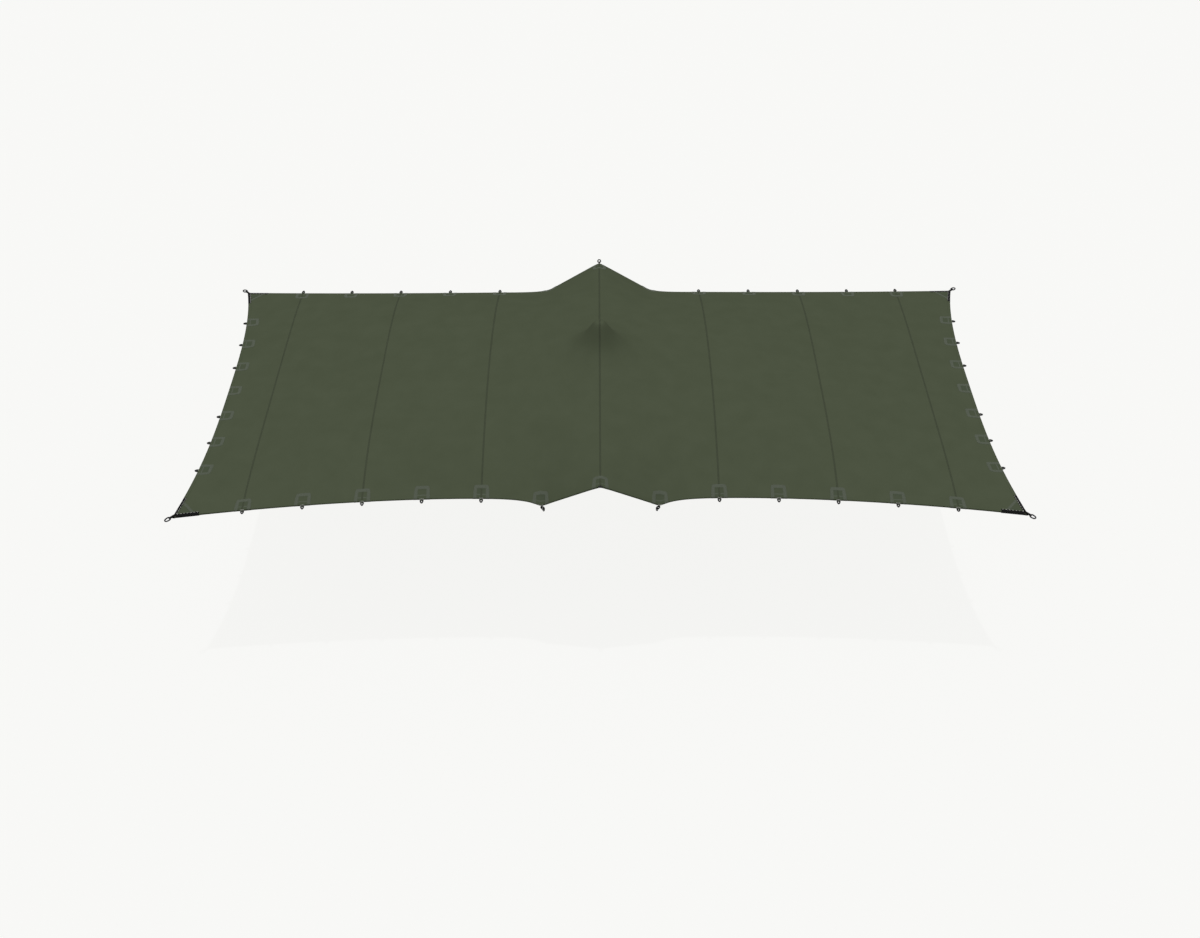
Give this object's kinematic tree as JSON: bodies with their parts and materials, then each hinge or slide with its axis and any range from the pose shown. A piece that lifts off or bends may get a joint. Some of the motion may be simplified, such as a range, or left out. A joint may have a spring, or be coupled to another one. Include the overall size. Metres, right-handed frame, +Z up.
{
  "type": "stretch tent canopy",
  "caption": "Oblong stretch tent canopy of sewn panels, raised to a round centre peak and two edge tips, with stitched tab patches, corner webbing straps and rings.",
  "frame": {"origin": "middle of the flat underside of the pad under the canopy's peak, where the centre pole's head pushes up", "axes": "+X along the long side to the right, +Y across the short side to the back, +Z up"},
  "size_m": [10.7696, 5.2194, 1.2239],
  "materials": {
    "canopy_cloth": "matt coated knitted polyester, olive green",
    "seam_tape": "overlapped and stitched seam, a little darker than the cloth",
    "hem_tape": "folded and stitched hem with sewn tab patches",
    "black_webbing": "woven black polyester webbing with pale stitches",
    "black_steel": "black coated steel",
    "bright_steel": "polished stainless steel",
    "pad_cloth": "dark heavy cloth patch"
  },
  "bodies": {
    "root": {"panel_1": "canopy_cloth", "panel_2": "canopy_cloth", "panel_3": "canopy_cloth", "panel_4": "canopy_cloth", "panel_5": "canopy_cloth", "panel_6": "canopy_cloth", "panel_7": "canopy_cloth", "panel_8": "canopy_cloth", "seam_1": "seam_tape", "seam_2": "seam_tape", "seam_3": "seam_tape", "seam_4": "seam_tape", "seam_5": "seam_tape", "seam_6": "seam_tape", "seam_7": "seam_tape", "hem_front_left": "hem_tape", "hem_front_middle": "hem_tape", "hem_front_right": "hem_tape", "hem_back_left": "hem_tape", "hem_back_middle": "hem_tape", "hem_back_right": "hem_tape", "hem_left": "hem_tape", "hem_right": "hem_tape", "corner_strap_front_left": "black_webbing", "corner_strap_front_right": "black_webbing", "corner_strap_back_left": "black_webbing", "corner_strap_back_right": "black_webbing", "corner_ring_front_left": "bright_steel", "corner_ring_front_right": "bright_steel", "corner_ring_back_left": "bright_steel", "corner_ring_back_right": "bright_steel", "ring_front_middle": "black_steel", "ring_back_middle": "black_steel", "ring_front_left": "black_steel", "ring_front_right": "black_steel", "ring_back_left": "black_steel", "ring_back_right": "black_steel", "ring_left_side": "black_steel", "ring_right_side": "black_steel", "shackle_front_left": "bright_steel", "shackle_front_right": "bright_steel", "shackle_back_left": "bright_steel", "shackle_back_right": "bright_steel", "peak_pad": "pad_cloth"}
  },
  "joints": []
}
